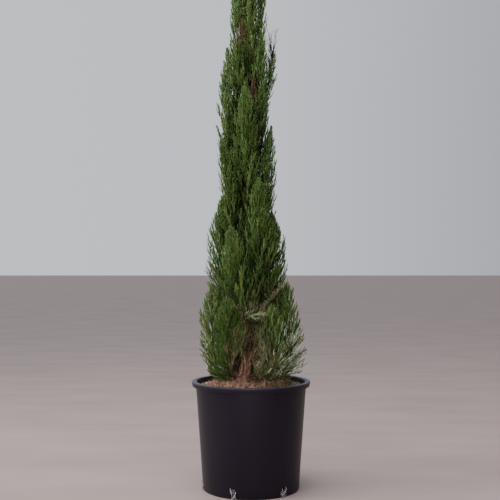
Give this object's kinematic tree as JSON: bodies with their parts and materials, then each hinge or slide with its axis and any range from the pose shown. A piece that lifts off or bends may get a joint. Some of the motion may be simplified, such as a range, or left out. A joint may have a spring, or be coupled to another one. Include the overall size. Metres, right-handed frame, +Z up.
{
  "type": "potted italian cypress tree",
  "caption": "Slim upright evergreen tree with steep feathery plumes round one trunk, growing in a round tapered black nursery pot.",
  "frame": {"origin": "middle of the pot's flat underside", "axes": "+Z up along the trunk, -Y towards the side seen in the picture, +X to its right"},
  "size_m": [0.4, 0.4, 1.9814],
  "materials": {
    "pot_plastic": "satin",
    "compost": "rough",
    "bark": "rough",
    "foliage": "matte"
  },
  "bodies": {
    "root": {"bough_1": "bark", "bough_10": "bark", "bough_11": "bark", "bough_12": "bark", "bough_13": "bark", "bough_14": "bark", "bough_15": "bark", "bough_16": "bark", "bough_17": "bark", "bough_18": "bark", "bough_19": "bark", "bough_2": "bark", "bough_3": "bark", "bough_4": "bark", "bough_5": "bark", "bough_6": "bark", "bough_7": "bark", "bough_8": "bark", "bough_9": "bark", "bough_aside": "bark", "bough_low_1": "bark", "bough_low_2": "bark", "bough_low_3": "bark", "bough_low_4": "bark", "bough_low_5": "bark", "bough_low_6": "bark", "bough_low_7": "bark", "compost": "compost", "plume_1": "foliage", "plume_10": "foliage", "plume_11": "foliage", "plume_12": "foliage", "plume_13": "foliage", "plume_14": "foliage", "plume_15": "foliage", "plume_16": "foliage", "plume_17": "foliage", "plume_18": "foliage", "plume_19": "foliage", "plume_2": "foliage", "plume_3": "foliage", "plume_4": "foliage", "plume_5": "foliage", "plume_6": "foliage", "plume_7": "foliage", "plume_8": "foliage", "plume_9": "foliage", "plume_aside": "foliage", "plume_leader": "foliage", "plume_low_1": "foliage", "plume_low_2": "foliage", "plume_low_3": "foliage", "plume_low_4": "foliage", "plume_low_5": "foliage", "plume_low_6": "foliage", "plume_low_7": "foliage", "pot": "pot_plastic", "trunk": "bark"}
  },
  "joints": []
}
